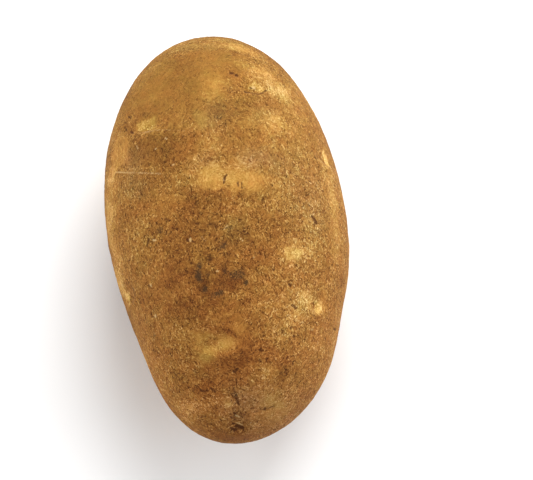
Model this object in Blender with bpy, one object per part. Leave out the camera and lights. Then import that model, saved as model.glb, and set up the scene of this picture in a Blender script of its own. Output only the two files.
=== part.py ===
"""A russet potato that lies on its broad back, in metres, +Z up.

It is one piece, grown as one tuber: a long, slightly flattened and slightly bent body, fuller at its bud end,
with shallow eyes under curved brows, a scar at its stem end and a small flat spot to rest on.
The stem end points along -Y and the bud end along +Y. The origin is under the middle, at the resting plane.

Places on the skin are given by a station and an angle. The station runs along the tuber from -1 at the
stem end to +1 at the bud end. The angle runs round it: 0 at +X, 90 on top, 180 at -X and 270 underneath.
"""

import math

import bmesh
import bpy
import numpy as np

MM = 0.001

# Driving dimensions of the whole tuber
LENGTH = 129.0 * MM
WIDTH = 75.2 * MM
HEIGHT = 60.5 * MM

# Fullness: 2 is an ellipsoid, more is squarer and less is more pointed
STEM_FULLNESS = 2.03
BUD_FULLNESS = 2.14

# Sideways bend of the middle line, as a cubic in the station
BEND = (-0.55 * MM, -5.2 * MM, -0.7 * MM, 1.45 * MM)
# The ends lift off the table by this much, as a square in the station
END_LIFT = 1.6 * MM

# Long shallow flats that slim the stem half: side (-1 left, +1 right), station, reach in stations, depth
SIDE_FLATS = (
    (-1, -0.64, 0.53, 6.1 * MM),
    (+1, -0.41, 0.19, 1.7 * MM),
)

# Broad swellings (+) and hollows (-) of the body: station, angle, reach, height
LUMPS = (
    (0.60, 97, 9 * MM, 0.8 * MM),
    (0.42, 96, 9 * MM, 0.6 * MM),
    (0.60, 122, 12 * MM, -0.8 * MM),
    (0.52, 78, 9 * MM, -0.5 * MM),
    (0.36, 117, 10 * MM, 0.7 * MM),
    (0.12, 87, 13 * MM, 0.9 * MM),
    (-0.04, 94, 13 * MM, -0.6 * MM),
    (-0.34, 53, 12 * MM, -0.6 * MM),
    (-0.40, 95, 16 * MM, 0.7 * MM),
    (-0.77, 109, 10 * MM, -0.7 * MM),
    (-0.69, 64, 11 * MM, 0.6 * MM),
    (0.25, 235, 20 * MM, -1.0 * MM),
    (-0.20, 222, 18 * MM, 1.2 * MM),
    (0.30, 318, 18 * MM, 1.2 * MM),
    (-0.30, 312, 16 * MM, -0.9 * MM),
    (-0.62, 262, 16 * MM, 0.9 * MM),
    (0.72, 268, 15 * MM, -0.8 * MM),
)

# Eyes: station, angle, width of the hollow, depth of the hollow
EYES = (
    (0.61, 67, 9.5 * MM, 1.0 * MM),
    (0.42, 127, 9.0 * MM, 1.0 * MM),
    (0.13, 86, 15.0 * MM, 0.9 * MM),
    (0.31, 28, 9.0 * MM, 1.0 * MM),
    (-0.41, 39, 9.5 * MM, 0.9 * MM),
    (-0.34, 161, 8.5 * MM, 0.8 * MM),
    (-0.62, 98, 12.0 * MM, 0.7 * MM),
    (-0.78, 111, 8.0 * MM, 0.6 * MM),
    (0.96, 320, 8.0 * MM, 1.2 * MM),
    (0.92, 186, 8.5 * MM, 1.1 * MM),
    (0.88, 285, 9.5 * MM, 1.2 * MM),
    (0.76, 352, 10.5 * MM, 1.3 * MM),
    (0.68, 208, 11.0 * MM, 1.4 * MM),
    (0.48, 314, 12.0 * MM, 1.5 * MM),
    (0.36, 256, 11.0 * MM, 1.2 * MM),
    (0.02, 194, 12.0 * MM, 1.3 * MM),
    (-0.12, 336, 12.5 * MM, 1.4 * MM),
    (-0.34, 242, 12.5 * MM, 1.3 * MM),
    (-0.64, 318, 11.5 * MM, 1.2 * MM),
    (-0.74, 212, 11.0 * MM, 1.1 * MM),
)
# Length of a hollow along the tuber, as a share of its width
EYE_LENGTH_SHARE = 0.55
# Brow of an eye: height as a share of the hollow's depth, setback and thickness in half lengths of the
# hollow, reach to either side in half widths, and how far its ends curl towards the bud end
BROW_HEIGHT_SHARE = 0.45
BROW_SETBACK = 1.15
BROW_THICKNESS = 0.65
BROW_REACH = 1.25
BROW_CURL = 0.45

# Scar where the tuber broke from its stolon
SCAR_STATION = -0.95
SCAR_ANGLE = 85
SCAR_WIDTH = 6.0 * MM
SCAR_DEPTH = 1.1 * MM
# Rim of the scar: height as a share of the depth, radius and thickness in half widths of the scar
RIM_HEIGHT_SHARE = 0.3
RIM_RADIUS = 1.5
RIM_THICKNESS = 0.5

# Depth that the resting spot takes off the underside
REST_DEPTH = 0.9 * MM
# A corner this near the resting plane is drawn onto it
REST_SNAP = 0.04 * MM

# Facets of the body between the edges of the box that it is blown up from
CELLS_ACROSS = 28
CELLS_ALONG = 43
CELLS_UP = 23

# Facets that meet at more than this are shaded with an edge between them, such as round the resting spot
EDGE_ANGLE = math.radians(40)

SKIN_COLOUR = (0.376, 0.174, 0.046, 1.0)
SKIN_ROUGHNESS = 0.85


def clear_scene():
    for obj in list(bpy.data.objects):
        bpy.data.objects.remove(obj, do_unlink=True)


def sphere_point(station, angle):
    """The unit direction of a station and an angle in degrees."""
    ring = math.sqrt(1.0 - station**2)
    turn = math.radians(angle)
    return np.array([[ring * math.cos(turn), station, ring * math.sin(turn)]])


def smooth_body(direction):
    """Points and outward normals of the body without its lumps and eyes, for rows of unit directions.

    A superellipsoid whose exponent grows towards the bud end is stretched to the driving dimensions,
    bent sideways by a cubic, lifted at its ends by a square and slimmed by the side flats.
    """
    towards_bud = (direction[:, 1] + 1) / 2
    ease = towards_bud**2 * (3 - 2 * towards_bud)
    power = (STEM_FULLNESS + (BUD_FULLNESS - STEM_FULLNESS) * ease)[:, None]
    blown = direction * (np.abs(direction) ** power).sum(1, keepdims=True) ** (-1 / power)
    half = np.array([WIDTH, LENGTH, HEIGHT]) / 2
    station = blown[:, 1]
    points = blown * half
    points[:, 0] += BEND[0] + BEND[1] * station + BEND[2] * station**2 + BEND[3] * station**3
    points[:, 2] += END_LIFT * station**2
    for side, middle, reach, depth in SIDE_FLATS:
        turned = np.clip(side * direction[:, 0], 0, 1) ** 2
        points[:, 0] -= side * depth * turned * np.exp(-(((station - middle) / reach) ** 2))
    normals = blown / half
    return points, normals / np.linalg.norm(normals, axis=1, keepdims=True)


def offsets_at(points, station, angle):
    """How far each point lies round the tuber, towards the bud end and outwards from a place on the skin."""
    centre, normal = (rows[0] for rows in smooth_body(sphere_point(station, angle)))
    towards_bud = np.array([0.0, 1.0, 0.0]) - normal[1] * normal
    towards_bud /= np.linalg.norm(towards_bud)
    around = np.cross(towards_bud, normal)
    offset = points - centre
    return offset @ around, offset @ towards_bud, offset @ normal


def lump_relief(points, station, angle, reach, height):
    """A round swelling or hollow that fades with the square of the distance, as a bell curve does."""
    centre = smooth_body(sphere_point(station, angle))[0][0]
    distance = np.linalg.norm(points - centre, axis=1)
    return height * np.exp(-((distance / reach) ** 2))


def eye_relief(points, station, angle, width, depth):
    """A bell-shaped oval hollow, and on its stem side a crescent brow that curls round it."""
    around, along, outwards = offsets_at(points, station, angle)
    across = around / (width / 2)
    ahead = along / (width / 2 * EYE_LENGTH_SHARE)
    this_side = np.exp(-((outwards / width) ** 2))
    hollow = np.exp(-(across**2) - ahead**2)
    crescent = ahead + BROW_SETBACK - BROW_CURL * across**2
    brow = np.exp(-((crescent / BROW_THICKNESS) ** 2) - (across / BROW_REACH) ** 4)
    return depth * this_side * (BROW_HEIGHT_SHARE * brow - hollow)


def scar_relief(points):
    """A round pit with a low swollen rim."""
    around, along, outwards = offsets_at(points, SCAR_STATION, SCAR_ANGLE)
    distance = np.sqrt(around**2 + along**2) / (SCAR_WIDTH / 2)
    this_side = np.exp(-((outwards / SCAR_WIDTH) ** 2))
    pit = np.exp(-(distance**2))
    rim = np.exp(-(((distance - RIM_RADIUS) / RIM_THICKNESS) ** 2))
    return SCAR_DEPTH * this_side * (RIM_HEIGHT_SHARE * rim - pit)


def tuber_points(direction):
    """Points of the finished skin for rows of unit directions."""
    points, normals = smooth_body(direction)
    relief = scar_relief(points)
    for lump in LUMPS:
        relief = relief + lump_relief(points, *lump)
    for eye in EYES:
        relief = relief + eye_relief(points, *eye)
    return points + normals * relief[:, None]


def box_lattice():
    """A closed box, two units a side, whose faces are ruled into the named numbers of cells."""
    lattice = bmesh.new()
    bmesh.ops.create_cube(lattice, size=2.0)
    for axis, cells in enumerate((CELLS_ACROSS, CELLS_ALONG, CELLS_UP)):
        along_axis = [
            edge
            for edge in lattice.edges
            if abs(edge.verts[0].co[axis] - edge.verts[1].co[axis]) > 1.0
        ]
        bmesh.ops.subdivide_edges(lattice, edges=along_axis, cuts=cells - 1, use_grid_fill=True)
    return lattice


def blow_up(lattice):
    """Turns the box into the tuber. The tangent spaces the cells evenly by angle."""
    corners = np.array([vertex.co for vertex in lattice.verts], float)
    spread = np.tan(corners * math.pi / 4)
    direction = spread / np.linalg.norm(spread, axis=1, keepdims=True)
    for vertex, point in zip(lattice.verts, tuber_points(direction)):
        vertex.co = point


def cut_rest_spot(body):
    """Slices a thin cap off the underside and closes the cut with one flat face."""
    rest_height = min(vertex.co.z for vertex in body.verts) + REST_DEPTH
    everything = body.verts[:] + body.edges[:] + body.faces[:]
    cut = bmesh.ops.bisect_plane(
        body,
        geom=everything,
        dist=REST_SNAP,
        plane_co=(0, 0, rest_height),
        plane_no=(0, 0, 1),
        clear_inner=True,
    )
    for item in cut["geom_cut"]:
        if isinstance(item, bmesh.types.BMVert):
            item.co.z = rest_height
    rim = [item for item in cut["geom_cut"] if isinstance(item, bmesh.types.BMEdge)]
    bmesh.ops.holes_fill(body, edges=rim, sides=0)
    bmesh.ops.recalc_face_normals(body, faces=body.faces)


def stand_on_origin(body):
    """Moves the tuber so that its box is centred over the origin and it rests at height zero."""
    corners = np.array([vertex.co for vertex in body.verts], float)
    low, high = corners.min(0), corners.max(0)
    middle = (low + high) / 2
    bmesh.ops.translate(body, verts=body.verts, vec=(-middle[0], -middle[1], -low[2]))


def skin_material():
    skin = bpy.data.materials.new("russet_skin")
    skin.use_nodes = True
    shader = skin.node_tree.nodes["Principled BSDF"]
    shader.inputs["Base Color"].default_value = SKIN_COLOUR
    shader.inputs["Roughness"].default_value = SKIN_ROUGHNESS
    shader.inputs["Metallic"].default_value = 0.0
    return skin


def make_tuber():
    body = box_lattice()
    blow_up(body)
    cut_rest_spot(body)
    stand_on_origin(body)
    mesh = bpy.data.meshes.new("tuber")
    body.to_mesh(mesh)
    body.free()
    mesh.shade_smooth()
    mesh.set_sharp_from_angle(angle=EDGE_ANGLE)
    mesh.materials.append(skin_material())
    tuber = bpy.data.objects.new("tuber", mesh)
    bpy.context.scene.collection.objects.link(tuber)


clear_scene()
make_tuber()
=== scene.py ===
import math

import bpy
import numpy as np
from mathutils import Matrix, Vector


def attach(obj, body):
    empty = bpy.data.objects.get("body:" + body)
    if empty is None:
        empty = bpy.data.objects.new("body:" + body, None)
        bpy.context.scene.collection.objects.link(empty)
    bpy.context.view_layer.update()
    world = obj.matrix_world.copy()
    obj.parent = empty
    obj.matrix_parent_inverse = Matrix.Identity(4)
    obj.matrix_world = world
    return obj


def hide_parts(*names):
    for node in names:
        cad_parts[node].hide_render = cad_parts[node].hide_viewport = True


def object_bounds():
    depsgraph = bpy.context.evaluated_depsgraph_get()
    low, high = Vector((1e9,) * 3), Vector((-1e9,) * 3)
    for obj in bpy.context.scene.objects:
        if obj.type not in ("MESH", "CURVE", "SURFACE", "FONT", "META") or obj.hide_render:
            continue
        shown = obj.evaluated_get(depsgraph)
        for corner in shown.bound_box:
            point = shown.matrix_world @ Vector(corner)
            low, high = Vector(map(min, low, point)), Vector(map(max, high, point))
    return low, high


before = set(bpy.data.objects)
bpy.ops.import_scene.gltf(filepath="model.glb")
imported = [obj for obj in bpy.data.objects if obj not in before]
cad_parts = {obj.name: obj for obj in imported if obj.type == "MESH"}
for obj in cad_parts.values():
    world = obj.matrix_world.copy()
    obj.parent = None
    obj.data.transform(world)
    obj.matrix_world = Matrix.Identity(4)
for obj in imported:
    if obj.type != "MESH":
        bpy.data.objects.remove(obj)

cad_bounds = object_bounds()

# The camera
# It looks down on the potato from above its stem end, as the photograph looks at its broad face.
# The photograph's middle is right of the potato's, so the camera aims a little to its right.

MM = 0.001
PHOTO_WIDTH = 533
PHOTO_HEIGHT = 480
SENSOR = 36.0
LENS = 165.1
CAMERA_RISE = math.radians(72)
CAMERA_DISTANCE = 750 * MM
CAMERA_AIM = np.array([12.4, -0.6, 29.3]) * MM

LOOK_BACK = np.array([0.0, -math.cos(CAMERA_RISE), math.sin(CAMERA_RISE)])
LOOK_RIGHT = np.array([1.0, 0.0, 0.0])
LOOK_UP = np.cross(LOOK_BACK, LOOK_RIGHT)
CAMERA_PLACE = CAMERA_AIM + CAMERA_DISTANCE * LOOK_BACK


def make_camera():
    """The camera, level from side to side and tipped down at the potato."""
    data = bpy.data.cameras.new("camera")
    data.lens = LENS
    data.sensor_width = SENSOR
    data.clip_start = 0.01
    data.clip_end = 20.0
    camera = bpy.data.objects.new("camera", data)
    camera.location = CAMERA_PLACE
    camera.rotation_euler = (math.pi / 2 - CAMERA_RISE, 0, 0)
    bpy.context.scene.collection.objects.link(camera)
    bpy.context.scene.camera = camera


def in_photo(points):
    """Pixels of points in the photograph, right and down.

    They are the offsets from the camera over the depth, times the focal length in pixels, off the middle.
    """
    focal = LENS / SENSOR * PHOTO_WIDTH
    offset = points - CAMERA_PLACE
    depth = -offset @ LOOK_BACK
    right = PHOTO_WIDTH / 2 + focal * (offset @ LOOK_RIGHT) / depth
    down = PHOTO_HEIGHT / 2 - focal * (offset @ LOOK_UP) / depth
    return right, down


make_camera()

# The tuber's form
# A potato is one swollen stem, grown in the soil: long, a little flat and bent, and fuller at its bud end.
# Its places are a station, from -1 at the stem end to +1 at the bud end, and an angle from +X by way of +Z.
# The form repeats the solid's, with four times as many facets each way.

LENGTH = 129.0 * MM
WIDTH = 75.2 * MM
HEIGHT = 60.5 * MM
STEM_FULLNESS = 2.03
BUD_FULLNESS = 2.14
# How far aside it bends: at the middle, and by the station, its square and its cube
BEND = (-0.55 * MM, -5.2 * MM, -0.7 * MM, 1.45 * MM)
END_LIFT = 1.6 * MM
# Slimmer flanks: side, station of the middle, reach as a station, depth
SIDE_FLATS = (
    (-1, -0.64, 0.53, 6.1 * MM),
    (+1, -0.41, 0.19, 1.7 * MM),
)
# It rests on a small flat, cut this deep into its underside
REST_DEPTH = 0.9 * MM

# Broad swellings and hollows: station, angle, reach, height
LUMPS = (
    (0.60, 97, 9 * MM, 0.8 * MM),
    (0.42, 96, 9 * MM, 0.6 * MM),
    (0.60, 122, 12 * MM, -0.8 * MM),
    (0.52, 78, 9 * MM, -0.5 * MM),
    (0.36, 117, 10 * MM, 0.7 * MM),
    (0.12, 87, 13 * MM, 0.9 * MM),
    (-0.04, 94, 13 * MM, -0.6 * MM),
    (-0.34, 53, 12 * MM, -0.6 * MM),
    (-0.40, 95, 16 * MM, 0.7 * MM),
    (-0.77, 109, 10 * MM, -0.7 * MM),
    (-0.69, 64, 11 * MM, 0.6 * MM),
    (0.25, 235, 20 * MM, -1.0 * MM),
    (-0.20, 222, 18 * MM, 1.2 * MM),
    (0.30, 318, 18 * MM, 1.2 * MM),
    (-0.30, 312, 16 * MM, -0.9 * MM),
    (-0.62, 262, 16 * MM, 0.9 * MM),
    (0.72, 268, 15 * MM, -0.8 * MM),
)

# Eyes: station, angle, width of the hollow, depth of the hollow
EYES = (
    (0.61, 67, 9.5 * MM, 1.0 * MM),
    (0.42, 127, 9.0 * MM, 1.0 * MM),
    (0.13, 86, 15.0 * MM, 0.9 * MM),
    (0.31, 28, 9.0 * MM, 1.0 * MM),
    (-0.41, 39, 9.5 * MM, 0.9 * MM),
    (-0.34, 161, 8.5 * MM, 0.8 * MM),
    (-0.62, 98, 12.0 * MM, 0.7 * MM),
    (-0.78, 111, 8.0 * MM, 0.6 * MM),
    (0.96, 320, 8.0 * MM, 1.2 * MM),
    (0.92, 186, 8.5 * MM, 1.1 * MM),
    (0.88, 285, 9.5 * MM, 1.2 * MM),
    (0.76, 352, 10.5 * MM, 1.3 * MM),
    (0.68, 208, 11.0 * MM, 1.4 * MM),
    (0.48, 314, 12.0 * MM, 1.5 * MM),
    (0.36, 256, 11.0 * MM, 1.2 * MM),
    (0.02, 194, 12.0 * MM, 1.3 * MM),
    (-0.12, 336, 12.5 * MM, 1.4 * MM),
    (-0.34, 242, 12.5 * MM, 1.3 * MM),
    (-0.64, 318, 11.5 * MM, 1.2 * MM),
    (-0.74, 212, 11.0 * MM, 1.1 * MM),
)
# An eye's length along the tuber is this share of its width, and its brow this share of its depth high
EYE_LENGTH_SHARE = 0.55
BROW_HEIGHT_SHARE = 0.45
# The brow in half sizes of the eye: how far behind the middle, how thick, how far it reaches, how it curls
BROW_SETBACK = 1.15
BROW_THICKNESS = 0.65
BROW_REACH = 1.25
BROW_CURL = 0.45
# A corky lip runs along the top of each brow
LIP_HEIGHT = 0.12 * MM
LIP_THICKNESS = 0.2

SCAR_STATION = -0.95
SCAR_ANGLE = 85
SCAR_WIDTH = 6.0 * MM
SCAR_DEPTH = 1.1 * MM
# The rim's height as a share of the pit's depth, and its radius and thickness in half widths of the pit
RIM_HEIGHT_SHARE = 0.3
RIM_RADIUS = 1.5
RIM_THICKNESS = 0.5

# Facets across, along and up the box that the skin is blown up from
CELLS = (112, 172, 95)
# Where each of the box's six sides lies on the skin's flat map, by its axis and sign and in facets.
# They are the top, under, right, left, bud and stem sides
MAP_GAP = 4
MAP_PLACES = {
    (2, +1): (0, 0),
    (2, -1): (CELLS[0] + MAP_GAP, 0),
    (0, +1): (0, CELLS[1] + MAP_GAP),
    (0, -1): (CELLS[2] + MAP_GAP, CELLS[1] + MAP_GAP),
    (1, +1): (2 * (CELLS[2] + MAP_GAP), CELLS[1] + MAP_GAP),
    (1, -1): (2 * (CELLS[0] + MAP_GAP), 0),
}
MAP_SIZE = 2 * (CELLS[1] + MAP_GAP)


def box_side(axis, sign):
    """One side of the ruled box: its facets' whole-number corners and their places on the flat map.

    The two parameters count facets along the other two axes. Going round a facet turns by the right hand
    about the way that the side faces.
    """
    first, second = [(1, 2), (2, 0), (0, 1)][axis]
    i, j = np.meshgrid(np.arange(CELLS[first]), np.arange(CELLS[second]), indexing="ij")
    round_facet = ((0, 0), (1, 0), (1, 1), (0, 1))[::sign]
    corners = np.zeros(i.shape + (4, 3), int)
    flat = np.zeros(i.shape + (4, 2))
    left, low = MAP_PLACES[axis, sign]
    for k, (di, dj) in enumerate(round_facet):
        corners[..., k, axis] = CELLS[axis] if sign > 0 else 0
        corners[..., k, first] = i + di
        corners[..., k, second] = j + dj
        along = corners[..., k, 1] if axis != 1 else corners[..., k, 0]
        across = corners[..., k, 2 if axis == 0 else 0] if axis != 1 else corners[..., k, 2]
        flat[..., k, 0] = left + across
        flat[..., k, 1] = low + along
    return corners.reshape(-1, 4, 3), (flat.reshape(-1, 4, 2) + MAP_GAP / 2) / MAP_SIZE


def ruled_box():
    """Corners of the closed box, facets as rows of four corner numbers, and each facet's flat map places."""
    sides = [box_side(axis, sign) for axis in range(3) for sign in (1, -1)]
    corners = np.concatenate([side[0] for side in sides])
    flat = np.concatenate([side[1] for side in sides])
    code = (corners[..., 0] * (CELLS[1] + 1) + corners[..., 1]) * (CELLS[2] + 1) + corners[..., 2]
    first, facets = np.unique(code.ravel(), return_index=True, return_inverse=True)[1:]
    return corners.reshape(-1, 3)[first], facets.reshape(-1, 4), flat


def outwards(box_corners):
    """Unit directions of the box's corners. The tangent of a quarter turn spaces them evenly by angle."""
    spread = np.tan((box_corners / np.array(CELLS) * 2 - 1) * math.pi / 4)
    return spread / np.linalg.norm(spread, axis=1, keepdims=True)


def sphere_point(station, angle):
    """The unit direction of a station and an angle in degrees."""
    ring = math.sqrt(1.0 - station**2)
    turn = math.radians(angle)
    return np.array([[ring * math.cos(turn), station, ring * math.sin(turn)]])


def smooth_body(direction):
    """Points and outward normals of the body without its lumps and eyes, for rows of unit directions.

    A superellipsoid whose exponent grows towards the bud end is stretched to the driving dimensions,
    bent sideways by a cubic, lifted at its ends by a square and slimmed by the side flats.
    """
    towards_bud = (direction[:, 1] + 1) / 2
    ease = towards_bud**2 * (3 - 2 * towards_bud)
    power = (STEM_FULLNESS + (BUD_FULLNESS - STEM_FULLNESS) * ease)[:, None]
    blown = direction * (np.abs(direction) ** power).sum(1, keepdims=True) ** (-1 / power)
    half = np.array([WIDTH, LENGTH, HEIGHT]) / 2
    station = blown[:, 1]
    points = blown * half
    points[:, 0] += BEND[0] + BEND[1] * station + BEND[2] * station**2 + BEND[3] * station**3
    points[:, 2] += END_LIFT * station**2
    for side, middle, reach, depth in SIDE_FLATS:
        turned = np.clip(side * direction[:, 0], 0, 1) ** 2
        points[:, 0] -= side * depth * turned * np.exp(-(((station - middle) / reach) ** 2))
    normals = blown / half
    return points, normals / np.linalg.norm(normals, axis=1, keepdims=True)


def skin_ways(normal):
    """Unit ways along skin with a normal: round the tuber and towards the bud end, square to each other."""
    towards_bud = np.array([0.0, 1.0, 0.0]) - normal[1] * normal
    towards_bud /= np.linalg.norm(towards_bud)
    return np.cross(towards_bud, normal), towards_bud


def offsets_at(points, station, angle):
    """How far each point lies round the tuber, towards the bud end and outwards from a place on the skin."""
    centre, normal = (rows[0] for rows in smooth_body(sphere_point(station, angle)))
    around, towards_bud = skin_ways(normal)
    offset = points - centre
    return offset @ around, offset @ towards_bud, offset @ normal


def lump_relief(points, station, angle, reach, height):
    """A round swelling or hollow that fades with the square of the distance, as a bell curve does."""
    centre = smooth_body(sphere_point(station, angle))[0][0]
    distance = np.linalg.norm(points - centre, axis=1)
    return height * np.exp(-((distance / reach) ** 2))


def eye_relief(points, station, angle, width, depth):
    """A bell-shaped oval hollow, and on its stem side a crescent brow with a thin lip along it."""
    around, along, away = offsets_at(points, station, angle)
    across = around / (width / 2)
    ahead = along / (width / 2 * EYE_LENGTH_SHARE)
    this_side = np.exp(-((away / width) ** 2))
    hollow = np.exp(-(across**2) - ahead**2)
    crescent = ahead + BROW_SETBACK - BROW_CURL * across**2
    reach = np.exp(-((across / BROW_REACH) ** 4))
    brow = reach * np.exp(-((crescent / BROW_THICKNESS) ** 2))
    lip = reach * np.exp(-((crescent / LIP_THICKNESS) ** 2))
    return this_side * (depth * (BROW_HEIGHT_SHARE * brow - hollow) + LIP_HEIGHT * lip)


def scar_relief(points):
    """A round pit with a low swollen rim."""
    around, along, away = offsets_at(points, SCAR_STATION, SCAR_ANGLE)
    distance = np.sqrt(around**2 + along**2) / (SCAR_WIDTH / 2)
    this_side = np.exp(-((away / SCAR_WIDTH) ** 2))
    pit = np.exp(-(distance**2))
    rim = np.exp(-(((distance - RIM_RADIUS) / RIM_THICKNESS) ** 2))
    return SCAR_DEPTH * this_side * (RIM_HEIGHT_SHARE * rim - pit)


box_corners, facets, flat_map = ruled_box()
body_points, body_normals = smooth_body(outwards(box_corners))
relief = scar_relief(body_points)
for lump in LUMPS:
    relief += lump_relief(body_points, *lump)
for eye in EYES:
    relief += eye_relief(body_points, *eye)
grown_points = body_points + body_normals * relief[:, None]

# The solid stands with its resting spot at height zero and its box over the origin, so the skin does too
cad_middle = (np.array(cad_bounds[0]) + np.array(cad_bounds[1])) / 2
grown_low, grown_high = grown_points.min(0), grown_points.max(0)
into_frame = cad_middle - (grown_low + grown_high) / 2
into_frame[2] = -(grown_low[2] + REST_DEPTH)
grown_points += into_frame

# The tuber's skin
# Russet skin is a thin dry cork. It cracks into fine flakes as the potato swells, and stays smooth and
# golden in patches, round the eyes above all. Soil has stained it, and handling has nicked and scratched it.

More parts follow.
